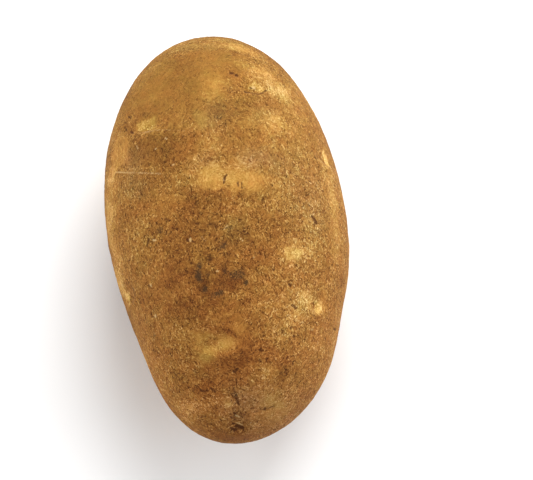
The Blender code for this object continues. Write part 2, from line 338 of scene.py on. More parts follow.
# Patches that the photograph shows, placed by its pixels: right and down. Then come half width and half
# height in millimetres, the turn in degrees, which tips the width's right end down, and how much paler, more
# golden, smoother and redder the patch is than the skin round it. Below zero it turns the other way and is
# darker and more olive
# Some darker patches here are painted shade under brows, eyes and a raised patch, and some pale strips along
# the rims are partly painted rim light
PATCHES_SEEN = (
    (204, 45, 8.0, 2.2, 0, 0.10, 0.2, 0.4, 0.0),
    (282, 272, 3.0, 2.6, 0, -0.06, 0.0, 0.0, 0.1),
    (203, 252, 3.6, 3.0, 0, -0.05, 0.0, 0.0, 0.0),
    (147, 307, 3.0, 3.0, 0, -0.06, 0.0, 0.0, 0.0),
    (302, 367, 4.0, 4.0, 0, -0.05, 0.0, 0.0, 0.0),
    (170, 247, 2.4, 4.0, 0, 0.06, 0.0, 0.0, 0.0),
    (157, 335, 2.6, 2.6, 0, 0.07, 0.0, 0.0, 0.0),
    (240, 48, 5.0, 2.2, 25, 0.20, 0.2, 0.7, 0.2),
    (160, 90, 14.0, 15.0, -30, -0.11, 0.3, 0.75, -0.2),
    (208, 60, 12.0, 8.0, 0, -0.09, 0.3, 0.7, 0.0),
    (196, 80, 6.0, 8.0, 0, 0.0, 0.3, 0.8, 0.0),
    (166, 74, 1.6, 1.8, 0, 0.08, 0.3, 0.6, 0.0),
    (151, 98, 2.6, 1.6, 0, 0.08, 0.3, 0.6, 0.0),
    (161, 86, 1.2, 1.2, 0, 0.05, 0.3, 0.6, 0.0),
    (213, 82, 4.6, 7.0, 0, 0.04, 0.7, 0.8, -0.1),
    (193, 88, 2.2, 4.4, 0, -0.06, 0.3, 0.8, -0.3),
    (202, 118, 2.4, 5.0, 0, 0.02, 0.6, 0.6, -0.4),
    (215, 112, 4.0, 6.0, 0, -0.06, 0.0, 0.2, -0.5),
    (196, 47, 9.0, 3.0, 0, 0.0, 0.0, 0.0, -0.5),
    (161, 66, 5.0, 4.0, 0, 0.0, 0.0, 0.0, -0.7),
    (218, 222, 8.0, 6.0, 0, 0.0, 0.0, 0.0, -0.6),
    (206, 256, 4.0, 4.0, 0, 0.03, 0.0, 0.0, -0.6),
    (180, 158, 5.0, 4.0, 0, -0.05, 0.0, 0.0, 0.2),
    (183, 184, 5.0, 4.0, 0, 0.04, 0.0, 0.0, -0.3),
    (256, 182, 4.0, 3.0, 0, -0.02, 0.0, 0.0, 0.4),
    (262, 258, 4.5, 3.5, 0, -0.03, 0.0, 0.0, 0.3),
    (236, 228, 5.0, 5.0, 0, 0.03, 0.0, 0.0, -0.6),
    (270, 354, 10.0, 4.0, 0, -0.02, 0.0, 0.0, 0.4),
    (236, 76, 3.0, 3.2, 0, -0.10, 0.2, 0.5, 0.5),
    (263, 72, 4.6, 3.2, 25, 0.16, 0.1, 0.6, 0.2),
    (257, 79, 5.5, 4.0, 25, 0.07, 0.1, 0.3, 0.2),
    (277, 86, 3.6, 2.6, 40, 0.05, 0.1, 0.5, 0.0),
    (248, 79, 2.6, 1.6, 0, 0.08, 0.1, 0.3, 0.0),
    (284, 104, 3.0, 3.0, 0, 0.07, 0.0, 0.0, -0.2),
    (208, 258, 2.2, 2.2, 0, 0.09, 0.0, 0.0, 0.0),
    (309, 250, 2.6, 3.0, 0, 0.09, 0.0, 0.0, -0.2),
    (285, 94, 3.6, 3.0, 35, 0.12, 0.1, 0.6, 0.2),
    (254, 88, 3.4, 2.0, 8, 0.12, 0.7, 0.6, -0.3),
    (238, 116, 7.0, 7.5, 0, -0.08, 0.0, 0.0, -0.4),
    # Painted shade under an eye
    (246, 105, 4.6, 2.6, 20, -0.04, 0.0, 0.0, -0.2),
    (271, 121, 6.5, 3.4, 0, 0.16, 0.3, 0.2, 0.0),
    (147, 127, 3.6, 2.2, 8, 0.04, 0.5, 0.5, -0.3),
    (176, 150, 6.0, 5.0, 5, -0.02, 0.0, 0.3, 0.0),
    (200, 146, 5.0, 3.0, 20, 0.02, 0.2, 0.2, 0.1),
    (241, 178, 8.2, 3.6, 8, 0.12, 0.6, 0.8, 0.0),
    (236, 162, 4.0, 1.8, 0, 0.04, 0.2, 0.5, 0.4),
    # Pale strips along the right rim: partly paler skin, partly painted rim light
    (331, 190, 3.0, 14.0, -5, 0.10, 0.2, 0.2, 0.0),
    (333, 218, 4.0, 14.0, -3, 0.06, 0.0, 0.4, -0.4),
    (141, 245, 5.0, 8.0, 0, 0.06, 0.0, 0.0, -0.3),
    (182, 244, 5.0, 8.0, 0, -0.08, 0.0, 0.0, 0.0),
    (279, 230, 6.0, 5.0, 0, -0.09, 0.0, 0.0, 0.0),
    (133, 140, 5.0, 3.0, 0, -0.10, 0.0, 0.0, 0.0),
    (158, 112, 5.0, 4.0, 0, -0.05, 0.0, 0.2, 0.0),
    (134, 209, 5.0, 4.0, 0, -0.07, 0.0, 0.0, 0.3),
    (156, 185, 5.0, 4.0, 0, -0.06, 0.0, 0.0, 0.0),
    (134, 328, 3.0, 5.0, 0, 0.04, 0.0, 0.0, -0.5),
    (134, 172, 4.0, 4.0, 0, 0.0, 0.0, 0.0, -0.4),
    (161, 143, 5.0, 4.0, 0, 0.0, 0.0, 0.0, -0.4),
    # Painted shade below a raised pale patch
    (253, 198, 6.5, 1.8, -5, -0.03, 0.0, 0.0, -0.2),
    (205, 214, 9.0, 8.0, 0, -0.10, 0.0, 0.0, 0.2),
    # Pale strips along the left rim: partly paler, smoother skin, partly painted rim light
    (112, 195, 4.5, 7.0, 0, 0.10, 0.2, 0.3, 0.0),
    (112, 240, 5.0, 12.0, -5, 0.20, 0.3, 0.3, 0.0),
    (120, 285, 4.0, 7.0, -12, 0.16, 0.3, 0.2, 0.0),
    (168, 203, 5.0, 3.2, 0, 0.0, 0.4, 0.3, 0.2),
    (180, 262, 11.0, 12.0, 0, -0.07, 0.0, 0.0, 0.1),
    (170, 292, 7.0, 6.0, 0, -0.05, 0.0, 0.3, 0.2),
    (222, 286, 9.0, 3.0, 0, -0.08, 0.0, 0.0, 0.2),
    (234, 340, 8.0, 8.0, 0, -0.04, 0.0, 0.0, 0.5),
    (313, 232, 5.0, 12.0, -5, 0.06, 0.0, 0.0, -0.4),
    (306, 308, 4.5, 4.5, 0, 0.15, 0.0, 0.0, -0.7),
    (275, 306, 4.0, 4.0, 0, 0.09, 0.0, 0.0, 0.0),
    (184, 330, 5.0, 4.5, 0, 0.11, 0.0, 0.0, -0.3),
    (299, 299, 5.5, 4.5, 0, 0.08, 0.0, 0.0, -0.2),
    (232, 41, 5.0, 1.8, 10, 0.05, 0.0, 0.0, -0.5),
    (276, 402, 5.0, 4.0, 0, 0.05, 0.0, 0.0, -0.5),
    (232, 403, 3.0, 3.0, 0, 0.06, 0.0, 0.0, 0.0),
    (254, 158, 4.0, 3.0, 0, 0.06, 0.0, 0.0, -0.2),
    (206, 282, 4.0, 4.0, 0, 0.02, 0.0, 0.0, -0.6),
    (281, 330, 5.0, 5.0, 0, 0.04, 0.0, 0.0, -0.4),
    (290, 158, 8.0, 6.0, 0, 0.0, 0.0, 0.0, -0.4),
    (283, 200, 6.0, 8.0, 0, 0.02, 0.0, 0.0, -0.4),
    (279, 90, 4.0, 4.0, 0, 0.04, 0.0, 0.0, -0.5),
    (230, 284, 5.0, 3.0, 0, -0.05, 0.0, 0.0, 0.0),
    # A pale strip along the left rim: partly paler, smoother skin, partly painted rim light
    (111, 184, 3.0, 6.0, 0, 0.07, 0.0, 0.4, 0.1),
    (134, 190, 5.0, 3.0, 0, 0.02, 0.0, 0.0, -0.6),
    (230, 208, 4.0, 4.0, 0, -0.03, 0.0, 0.0, 0.5),
    (207, 398, 4.0, 5.0, 0, 0.0, 0.0, 0.0, 0.5),
    (304, 332, 4.0, 3.0, 0, -0.06, 0.0, 0.0, 0.0),
    (190, 408, 5.0, 4.0, 0, 0.18, 0.0, 0.0, 0.3),
    (165, 385, 5.0, 6.0, 0, 0.08, 0.0, 0.0, 0.0),
    (230, 61, 6.5, 3.4, 20, 0.04, 0.2, 0.7, -0.4),
    (184, 141, 4.0, 3.0, 0, -0.11, 0.0, 0.0, 0.2),
    (216, 143, 4.0, 3.0, 0, 0.05, 0.0, 0.0, -0.2),
    (212, 172, 6.0, 4.0, 0, 0.08, 0.2, 0.2, 0.0),
    (262, 266, 4.5, 4.5, 0, -0.06, 0.0, 0.0, 0.1),
    (262, 125, 18.0, 14.0, 0, 0.0, 0.0, 0.35, 0.0),
    (240, 243, 8.5, 5.5, 0, -0.12, 0.0, 0.0, 0.1),
    (294, 254, 4.8, 2.4, -15, 0.13, 0.2, 0.3, 0.1),
    (303, 251, 2.4, 1.1, -10, 0.12, 0.3, 0.3, 0.0),
    (232, 278, 6.0, 3.0, 0, -0.14, 0.0, 0.0, 0.0),
    (200, 276, 3.0, 4.5, 10, -0.18, 0.0, 0.0, 0.0),
    (185, 310, 7.0, 5.0, 0, -0.16, 0.0, 0.0, 0.0),
    (307, 297, 3.6, 1.7, 15, 0.12, 0.3, 0.4, 0.2),
    (322, 302, 1.8, 4.0, 0, 0.06, 0.6, 0.6, 0.2),
    # A pale strip along the right rim: partly paler skin, partly painted rim light
    (338, 330, 3.0, 12.0, 8, 0.08, 0.0, 0.0, 0.0),
    (300, 110, 9.0, 14.0, 0, 0.0, 0.1, 0.3, 0.0),
    (297, 319, 3.8, 2.2, 0, 0.06, 0.2, 0.2, 0.3),
    (226, 342, 3.4, 3.0, -20, 0.20, 0.8, 0.9, -0.7),
    (240, 328, 2.4, 2.4, 0, 0.10, 0.6, 0.7, -0.2),
    (202, 338, 2.6, 1.8, 0, 0.08, 0.6, 0.6, -0.4),
    (208, 353, 4.2, 2.8, -30, 0.10, 0.6, 0.8, -1.0),
    (232, 362, 6.0, 3.4, 0, -0.05, 0.0, 0.2, 0.5),
    (228, 330, 3.8, 0.9, 35, -0.24, 0.0, 0.2, 0.4),
    (245, 345, 2.0, 3.4, 0, -0.08, 0.0, 0.2, 0.2),
    (129, 298, 1.6, 2.0, -15, 0.38, 1.0, 0.4, -0.2),
    (228, 318, 5.0, 4.0, 0, -0.03, 0.3, 0.4, 0.2),
    (208, 296, 6.0, 5.5, 0, -0.08, 0.0, 0.0, 0.3),
    # Painted shade under the brow of an eye
    (222, 366, 6.5, 1.9, -10, -0.09, 0.0, 0.2, 0.1),
    (268, 373, 2.8, 2.2, 0, 0.16, 0.3, 0.2, -0.3),
    # Painted shade along the underside of a brow
    (203, 389, 4.6, 1.4, -8, -0.14, 0.0, 0.0, 0.6),
    (225, 378, 7.0, 5.0, 0, 0.0, 0.0, 0.0, 0.6),
    (215, 402, 5.0, 3.0, 0, 0.04, 0.0, 0.0, 0.7),
    (283, 374, 2.2, 3.4, 0, -0.18, 0.0, 0.0, 0.0),
    (262, 332, 3.5, 8.0, 0, -0.04, 0.0, 0.0, 0.0),
    (229, 404, 1.6, 1.0, 0, 0.20, 0.5, 0.4, -0.3),
    (268, 406, 7.0, 5.0, 20, 0.08, 0.3, 0.6, 0.0),
    (236, 438, 9.0, 2.4, 0, -0.12, 0.0, 0.3, 0.4),
    (180, 378, 2.6, 2.0, 0, -0.10, 0.0, 0.0, 0.0),
)
# Patches with a clear, rather square edge, where the skin changes at a line, given likewise
CLEAR_PATCHES_SEEN = (
    # Dark skin under an eye's brow: partly a soil stain, partly painted shade
    (151, 152, 7.0, 5.0, 0, -0.13, 0.0, 0.4, -0.1),
    (119, 154, 4.6, 5.6, 0, 0.14, 0.1, 0.7, 0.3),
    (146, 126, 3.7, 2.2, 0, 0.26, 0.8, 0.4, -0.3),
    (254, 88, 2.6, 1.6, 8, 0.16, 0.8, 0.5, -0.2),
    (211, 174, 3.8, 3.9, 0, 0.09, 0.7, 0.8, 0.0),
    (245, 179, 5.6, 2.8, 8, 0.04, 0.7, 0.8, 0.0),
    (295, 254, 3.4, 1.5, -20, 0.10, 0.7, 0.6, -0.5),
    (317.5, 308, 1.6, 2.5, -10, 0.36, 1.0, 0.7, -0.8),
    (325, 161, 1.3, 2.4, -12, 0.34, 0.8, 0.8, 0.0),
)
# Smears of grey-green soil: pixels, half sizes and turn as above, and the strength
SOIL_SEEN = (
    (223, 108, 4.6, 6.0, 0, 0.20),
    (219, 117, 1.9, 1.9, 0, 0.32),
    (230, 91, 2.4, 2.4, 0, 0.20),
    (160, 230, 1.4, 1.2, 0, 0.45),
    (223.5, 247, 1.3, 1.1, 0, 0.55),
    (199, 267, 0.8, 1.6, 12, 0.60),
    (198.5, 277, 0.9, 2.0, -8, 0.90),
    (209, 275, 0.6, 0.6, 0, 0.60),
    (205.5, 289, 0.8, 0.7, 0, 0.90),
    (219, 293, 1.8, 0.9, -20, 0.65),
    (237, 276, 2.4, 1.4, 0, 0.55),
    (247, 282, 0.8, 0.9, 0, 0.80),
    (229, 227, 1.2, 0.8, 0, 0.50),
    (235, 395, 0.8, 2.4, -15, 0.35),
    (155, 337, 1.0, 1.3, 0, 0.40),
    (134, 292, 0.9, 1.6, 0, 0.40),
    (316, 232, 2.8, 2.0, 0, 0.20),
)
# Films of grey dust, given likewise
DUST_SEEN = (
    (134, 165, 5.0, 6.0, 0, 0.6),
    (256, 158, 5.0, 3.4, 0, 0.6),
    (266, 110, 6.0, 4.0, -30, 0.3),
    (278, 88, 8.0, 3.4, 40, 0.2),
    (212, 118, 4.5, 5.5, 0, 0.5),
    (250, 402, 5.6, 3.6, 0, 0.7),
    (320, 208, 4.0, 8.0, 0, 0.2),
    (206, 160, 4.0, 3.0, 0, 0.4),
    (305, 190, 9.0, 12.0, 0, 0.25),
    (270, 160, 8.0, 4.0, 0, 0.3),
    (134, 190, 5.0, 3.0, 0, 0.4),
    (232, 230, 5.0, 5.0, 0, 0.2),
    (196, 47, 9.0, 3.0, 0, 0.3),
)
# Dark cracks, pits and nicks, and painted shade in dents, beside chips and under a brow, from one pixel to
# another, with their half width in millimetres
CRACKS_AND_PAINTED_SHADE_SEEN = (
    (231, 72, 233, 73, 0.40),
    (236, 74, 237, 75, 0.40),
    (244, 91.6, 260, 93.6, 0.22),
    (260, 93.6, 267, 89.5, 0.22),
    (128.5, 116, 131, 117.5, 0.32),
    (125, 127, 126, 129, 0.32),
    (131, 131.5, 133, 133, 0.36),
    (138, 135, 140, 136, 0.34),
    (226, 174.5, 224, 178, 0.26),
    (225, 177, 223.5, 182, 0.42),
    (237.5, 182, 239, 185.5, 0.28),
    (241, 183, 241.5, 187, 0.26),
    (195, 197.6, 195.5, 198, 0.44),
    (197.5, 223, 198, 223.5, 0.46),
    (313, 217, 317, 222.5, 0.48),
    # Painted shadow beside a chip
    (186.5, 239, 187.5, 241.5, 0.40),
    # Painted shade in a dent beside a chip
    (149, 239, 146.5, 245, 0.34),
    (149.5, 247, 152, 247.5, 0.22),
    (243, 230.5, 247, 233.5, 0.40),
    (274, 269, 274.5, 270, 0.45),
    (290, 285, 290.5, 285.5, 0.43),
    (293, 305, 296, 309, 0.36),
    (290.5, 328, 291, 328.5, 0.44),
    (293.5, 336, 294, 336.5, 0.42),
    (335, 329, 335.5, 329.5, 0.40),
    (260, 349, 260.5, 349.5, 0.42),
    (260, 360, 260.5, 360.5, 0.42),
    (234, 372.5, 237, 369.8, 0.50),
    (231.5, 394, 232.5, 396.5, 0.30),
    (236, 399, 239.5, 405.5, 0.36),
    (236.8, 375, 236.8, 386, 0.16),
    # Painted shade along the underside of an eye's brow
    (196, 385.5, 203, 390, 0.28),
    (203, 391, 208, 389.5, 0.24),
    (211, 388, 215, 391.5, 0.26),
    (253, 412, 258, 411, 0.18),
    (260, 409.7, 263, 409.4, 0.22),
    (264.5, 408.8, 266, 408.4, 0.28),
    (268, 408.6, 273, 407.2, 0.22),
    (231.5, 428, 236, 429.5, 0.40),
    (236, 427, 243, 427.5, 0.55),
    (233, 424, 238, 424.6, 0.24),
    (234, 413, 236, 416, 0.24),
    (241, 412, 242, 418, 0.22),
    (230.5, 417, 234, 419.5, 0.26),
    (236, 419.5, 240, 421, 0.20),
)
# Long pale scratches, given likewise
SCRATCHES_SEEN = (
    (117, 173, 160, 173, 0.18),
    (139, 134, 160, 130, 0.08),
    (160, 130, 184, 131.5, 0.05),
    (221.2, 174, 223.5, 181, 0.16),
)
# Pale flakes and chips, given likewise
CHIPS_SEEN = (
    (136.5, 144, 138, 149, 0.12),
    (155.5, 149, 157, 148.5, 0.20),
    (166, 138, 166.5, 138.5, 0.26),
    (173, 164.5, 174, 165, 0.22),
    (253, 87.5, 254.5, 87.8, 0.40),
    (189.5, 238.5, 190.5, 240.5, 0.38),
    (152.5, 241, 156, 239.5, 0.28),
    (202, 236.5, 206, 240, 0.10),
    (224, 229, 227, 226, 0.12),
    (254, 257.5, 254.5, 258.5, 0.26),
    (241.5, 239, 242, 240, 0.22),
    (217.3, 271, 218, 272, 0.20),
    (288, 314, 290, 315, 0.22),
    (296, 320, 298, 321, 0.22),
    (302, 322, 303, 323, 0.28),
    (312, 329, 313, 330, 0.22),
    (150.5, 285, 151, 286, 0.28),
    (155.5, 315.5, 156, 316.5, 0.28),
    (236, 415.5, 239, 416.5, 0.24),
    (237, 422.5, 240, 423, 0.20),
    (241, 425, 242.5, 425.5, 0.20),
)

# Large odd numbers, and shifts in bits, that stir a cell's place into a chance
CELL_STIR = np.array([73856093, 19349663, 83492791])
SEED_STIR = 2654435761
SHIFTS_AND_STIRS = ((13, 1274126177), (15, 2246822519))
# Each layer of noise is this many cells off the one before
LAYER_SHIFT = 31.7
# Further off than any mark reaches, in its own measure
FAR = 9.0


def whole_cell_chance(cell, seed):
    """A number from 0 to 1 for each whole-number cell, the same each time for the same cell and seed."""
    stirred = (cell.astype(np.int64) * CELL_STIR).sum(-1) + seed * SEED_STIR
    for shift, stir in SHIFTS_AND_STIRS:
        stirred = (stirred ^ (stirred >> shift)) * stir % 2**32
    return ((stirred ^ (stirred >> 16)) % 2**16) / (2**16 - 1)


def soft_noise(points, size, seed, layers=3):
    """Smooth noise from -1 to 1 in blots of about a size: chances at cell corners, blended, in layers.

    Each layer has half the size and half the weight of the one before.
    """
    total = np.zeros(len(points))
    weight = 1.0
    for layer in range(layers):
        place = points / (size / 2**layer) + LAYER_SHIFT * layer
        cell = np.floor(place)
        part = place - cell
        part = part * part * (3 - 2 * part)
        for corner in np.ndindex(2, 2, 2):
            share = np.prod(np.where(corner, part, 1 - part), axis=1)
            total += weight * share * (2 * whole_cell_chance(cell + corner, seed + layer) - 1)
        weight /= 2
    return total / (2 - weight * 2)


def flakes(points, size, seed):
    """Distances to the nearest and next nearest of points strewn one to a cell, and the nearest's chance."""
    place = points / size
    cell = np.floor(place)
    nearest = np.full(len(points), FAR)
    next_nearest = nearest.copy()
    chance = np.zeros(len(points))
    for step in np.ndindex(3, 3, 3):
        there = cell + step - 1
        strewn = there + np.stack([whole_cell_chance(there, seed + k) for k in range(3)], axis=1)
        distance = np.linalg.norm(place - strewn, axis=1)
        closer = distance < nearest
        next_nearest = np.where(closer, nearest, np.minimum(next_nearest, distance))
        chance = np.where(closer, whole_cell_chance(there, seed + 3), chance)
        nearest = np.where(closer, distance, nearest)
    return nearest, next_nearest, chance


def smooth_step(values, low, high):
    """0 below the low value, 1 above the high one and an even S between them."""
    share = np.clip((values - low) / (high - low), 0, 1)
    return share * share * (3 - 2 * share)


# Scale of the photograph at the potato
PIXELS_PER_MM = 3.26
# A mark is placed only on skin that faces the camera by more than this, as a cosine
LEAST_FACING = 0.05
# Noise that makes the edges of patches waver: strength, size, seed
WAVERS = (
    (0.5, 5 * MM, 11),
    (0.45, 1.8 * MM, 13),
)
# Roundness and clearness of a patch with a clear edge
CLEAR_EDGE = (3, 9)
# How far noise of a size frays the edges of cracks and painted shadows, in millimetres, and its share on
# chips
FRAY_DEPTH = 0.15
FRAY_SIZE = 1.2 * MM
CHIP_FRAY_SHARE = 0.5
# How a chip's thin shadow differs from it: pixels right and down, at both ends, and half width
SHADOW_SHIFT = (-2.2, 0.8, -2.2, 0.8, -0.05)

seen_right, seen_down = in_photo(grown_points)
faces_camera = body_normals @ LOOK_BACK
waver = sum(strength * soft_noise(grown_points, size, seed) for strength, size, seed in WAVERS)


def seen_place(right, down):
    """The number of the skin's corner that the photograph shows at a pixel."""
    miss = (seen_right - right) ** 2 + (seen_down - down) ** 2
    return np.argmin(np.where(faces_camera > LEAST_FACING, miss, np.inf))


def blot(right, down, half_width, half_height, turn, roundness=2, clearness=3):
    """A mark on the skin at a pixel: 1 in the middle, fading outwards, with a wavering edge.

    It is a superellipse, oval at a roundness of 2 and squarer above it, and fades as a bell with the
    clearness as its power. Its half sizes are in millimetres and its turn in degrees.
    """
    place = seen_place(right, down)
    normal = body_normals[place]
    around, towards_bud = skin_ways(normal)
    turn = math.radians(turn)
    offset = (grown_points - grown_points[place]) / MM
    width_way = math.cos(turn) * around - math.sin(turn) * towards_bud
    height_way = math.sin(turn) * around + math.cos(turn) * towards_bud
    ways = np.stack([width_way / half_width, height_way / half_height, normal / half_width], axis=1)
    parts = offset @ ways
    distance = (np.abs(parts) ** roundness).sum(1) ** (1 / roundness)
    return np.exp(-((distance * (1 + waver)) ** clearness))


def strokes(seen):
    """Distances across the view, in millimetres, to the edge of the nearest of some strokes.

    They are below zero inside a stroke, and far on skin that faces away.
    """
    place = np.stack([seen_right, seen_down], axis=1) / PIXELS_PER_MM
    nearest = np.full(len(place), FAR)
    for right, down, last_right, last_down, half_width in seen:
        first = place[seen_place(right, down)]
        way = place[seen_place(last_right, last_down)] - first
        share = np.clip((place - first) @ way / max(way @ way, 0.01), 0, 1)
        distance = np.linalg.norm(place - first - share[:, None] * way, axis=1)
        nearest = np.minimum(nearest, distance - half_width)
    return np.where(faces_camera > 0, nearest, FAR)


# The paleness mask also carries the patches' painted shade and painted rim light
paleness_and_painted_light, golden, calm, red, soil = np.zeros((5, len(grown_points)))
for patches, edge in ((PATCHES_SEEN, ()), (CLEAR_PATCHES_SEEN, CLEAR_EDGE)):
    for *place_and_size, paler, more_golden, calmer, redder in patches:
        share = blot(*place_and_size, *edge)
        paleness_and_painted_light += paler * share
        golden = np.maximum(golden, more_golden * share)
        calm = np.maximum(calm, calmer * share)
        red += redder * share
for *place_and_size, strength in SOIL_SEEN:
    soil = np.maximum(soil, strength * blot(*place_and_size))
fray = FRAY_DEPTH * soft_noise(grown_points, FRAY_SIZE, seed=12, layers=1)
chip = strokes(SCRATCHES_SEEN + CHIPS_SEEN) + CHIP_FRAY_SHARE * fray
# Beside each chip lies a thin painted shadow, drawn in the dark crack colour and cut in like a crack
shadows = tuple(tuple(np.add(seen, SHADOW_SHIFT)) for seen in CHIPS_SEEN)
crack_and_painted_shadow = strokes(CRACKS_AND_PAINTED_SHADE_SEEN + shadows) + fray

# Round every eye the cork is ruled with fine rings, and in it sit a few tiny buds with dark pits between
BUDS_PER_EYE = 4
# An eye more than this many times as wide as it is deep has grown over its buds
FLAT_EYE = 13
BUD_REACH = 2.3 * MM
BUD_RADIUS = 0.55 * MM
BUD_HEIGHT = 0.22 * MM
# Buds and pits are spread over these shares of the eye's width, round the tuber and along it
BUD_SPREAD = (0.40, 0.14)
# A pit's radius as a share of a bud's, and the radius of its dark mark in millimetres
PIT_SHARE = 0.6
PIT_MARK = 0.25
# An eye's colour fills this share of its hollow
EYE_FILL = 0.9
# The eye's marks fade out between these distances inwards or outwards, in widths of the eye
EYE_DEPTHS = (0.3, 0.6)

ring = np.full(len(grown_points), FAR)
bud_relief, in_eye, in_bud = np.zeros((3, len(grown_points)))
for number, (station, angle, width, depth) in enumerate(EYES):
    around, along, away = offsets_at(body_points, station, angle)
    other_side = FAR * smooth_step(np.abs(away) / width, *EYE_DEPTHS)
    from_middle = np.sqrt((2 * around / width) ** 2 + (2 * along / (width * EYE_LENGTH_SHARE)) ** 2)
    from_middle += other_side
    ring = np.minimum(ring, from_middle)
    in_eye = np.maximum(in_eye, np.exp(-((from_middle / EYE_FILL) ** 4)))
    if width > FLAT_EYE * depth:
        continue
    in_bud = np.maximum(in_bud, np.exp(-((from_middle * width / 2 / BUD_REACH) ** 4)))
    for k in range(BUDS_PER_EYE):
        chances = whole_cell_chance(np.array([[number, k, part] for part in range(4)]), seed=21) - 0.5
        bud, pit = (
            np.hypot(around - BUD_SPREAD[0] * width * aside, along - BUD_SPREAD[1] * width * ahead)
            for aside, ahead in (chances[:2], chances[2:])
        )
        bud_relief += BUD_HEIGHT * np.exp(-((bud / BUD_RADIUS) ** 2) - (away / width) ** 2)
        bud_relief -= BUD_HEIGHT * np.exp(-((pit / (PIT_SHARE * BUD_RADIUS)) ** 2) - (away / width) ** 2)
        crack_and_painted_shadow = np.minimum(crack_and_painted_shadow, pit / MM - PIT_MARK + other_side)

# Where the photograph shows nothing, the same kinds of patch fall by chance. The skin is more and more
# hidden as the cosine that it faces the camera by falls from one of these to the other
HIDDEN_FACINGS = (0.45, -0.05)
# Size and seed of the blots, and where there are any bounds, the noise at which a patch begins and is full
CLOUDS = (14 * MM, 71)
PALE_BLOTS = (7 * MM, 72)
CALM_BLOTS = (18 * MM, 73)
RED_BLOTS = (10 * MM, 74)
SOIL_BLOTS = (8 * MM, 75)
GOLDEN_BOUNDS = (0.18, 0.42)
CALM_BOUNDS = (0.1, 0.3)
SOIL_BOUNDS = (0.25, 0.6)
# How strong they are on all the skin, and how much stronger on hidden skin
PALE_EVERYWHERE = 0.04
RED_EVERYWHERE = 0.2
HIDDEN_PALE = 0.08
HIDDEN_RED = 0.4
HIDDEN_CLOUD = 0.5
HIDDEN_GOLDEN = 0.6
HIDDEN_CALM = 0.4
HIDDEN_SOIL = 0.22
# Hidden eyes are this much more golden and paler
EYE_GOLDEN = 0.8
EYE_PALE = 0.16
# The skin is a little more olive towards the bud end and redder towards the stem end
BUD_OLIVE = 0.5
# A thin film of dust greys the flank to the right, and the right half of the stem end. It begins and is
# full at these distances from the origin
FLANK_DUST = 0.2
FLANK_BOUNDS = (4 * MM, 28 * MM)
STEM_DUST = 0.5
STEM_BOUNDS = (46 * MM, 58 * MM)
RIGHT_HALF_BOUNDS = (-4 * MM, 4 * MM)

hidden = smooth_step(-faces_camera, *np.negative(HIDDEN_FACINGS))
cloud = soft_noise(grown_points, *CLOUDS)
paleness_and_painted_light += hidden * HIDDEN_CLOUD * cloud
paleness_and_painted_light += (PALE_EVERYWHERE + HIDDEN_PALE * hidden) * soft_noise(grown_points, *PALE_BLOTS)
paleness_and_painted_light += EYE_PALE * hidden * in_eye
golden_by_chance = np.maximum(HIDDEN_GOLDEN * smooth_step(cloud, *GOLDEN_BOUNDS), EYE_GOLDEN * in_eye)
golden = np.maximum(golden, hidden * golden_by_chance)
calm_by_chance = smooth_step(soft_noise(grown_points, *CALM_BLOTS), *CALM_BOUNDS)
calm = np.maximum(calm, hidden * HIDDEN_CALM * calm_by_chance)
red += (RED_EVERYWHERE + HIDDEN_RED * hidden) * soft_noise(grown_points, *RED_BLOTS)
red -= BUD_OLIVE * grown_points[:, 1] / (LENGTH / 2)
soil_by_chance = smooth_step(soft_noise(grown_points, *SOIL_BLOTS), *SOIL_BOUNDS)
soil = np.maximum(soil, hidden * HIDDEN_SOIL * soil_by_chance)

dust = FLANK_DUST * smooth_step(grown_points[:, 0], *FLANK_BOUNDS)
for *place_and_size, strength in DUST_SEEN:
    dust += strength * blot(*place_and_size)
at_stem_end = smooth_step(-grown_points[:, 1], *STEM_BOUNDS)
in_right_half = smooth_step(grown_points[:, 0], *RIGHT_HALF_BOUNDS)
dust += STEM_DUST * at_stem_end * in_right_half

# The cork's flakes, like all its pattern, are longer along the tuber
PATTERN_STRETCH = (1.0, 0.6, 1.0)
FLAKE_SIZE = 1.3 * MM
# A flake rises from its edge within this share of its size
FLAKE_EDGE = 0.25
FLAKE_HEIGHT = 0.05 * MM
# The gaps between flakes lie this share of their height below the skin
FLAKE_SUNK = 0.6
# Flakes differ in height by up to this
FLAKE_STEP = 0.07 * MM
# Flakes of smooth skin are lower by this share
CALM_FLAKES = 0.8
UNEVEN_SIZE = 9 * MM
UNEVEN_HEIGHT = 0.25 * MM
CRACK_DEPTH = 0.20 * MM
CHIP_HEIGHT = 0.10 * MM
# Their walls go from this far outside the edge to this far inside, in millimetres
CRACK_WALL = (-0.5, 0.2)
CHIP_WALL = (-0.4, 0.2)

nearest, next_nearest, chance = flakes(grown_points * np.array(PATTERN_STRETCH), FLAKE_SIZE, seed=5)
flake = np.clip((next_nearest - nearest) / FLAKE_EDGE, 0, 1)
fine_relief = FLAKE_HEIGHT * (flake - FLAKE_SUNK) + FLAKE_STEP * (chance - 0.5) * flake
fine_relief *= 1 - CALM_FLAKES * calm
fine_relief += UNEVEN_HEIGHT * soft_noise(grown_points, UNEVEN_SIZE, seed=41)
fine_relief -= CRACK_DEPTH * smooth_step(-crack_and_painted_shadow, *CRACK_WALL)
fine_relief += CHIP_HEIGHT * smooth_step(-chip, *CHIP_WALL)
fine_relief += bud_relief

skin_points = grown_points + body_normals * fine_relief[:, None]
skin_points[:, 2] = np.maximum(skin_points[:, 2], 0.0)

# Tones of the cork from its deepest cracks to its palest flakes, as display colours
CORK_TONES = (
    (0.00, (78, 45, 16)),
    (0.20, (112, 67, 26)),
    (0.40, (136, 89, 37)),
    (0.52, (150, 102, 45)),
    (0.66, (172, 123, 59)),
    (0.80, (197, 152, 84)),
    (1.00, (228, 188, 124)),
)
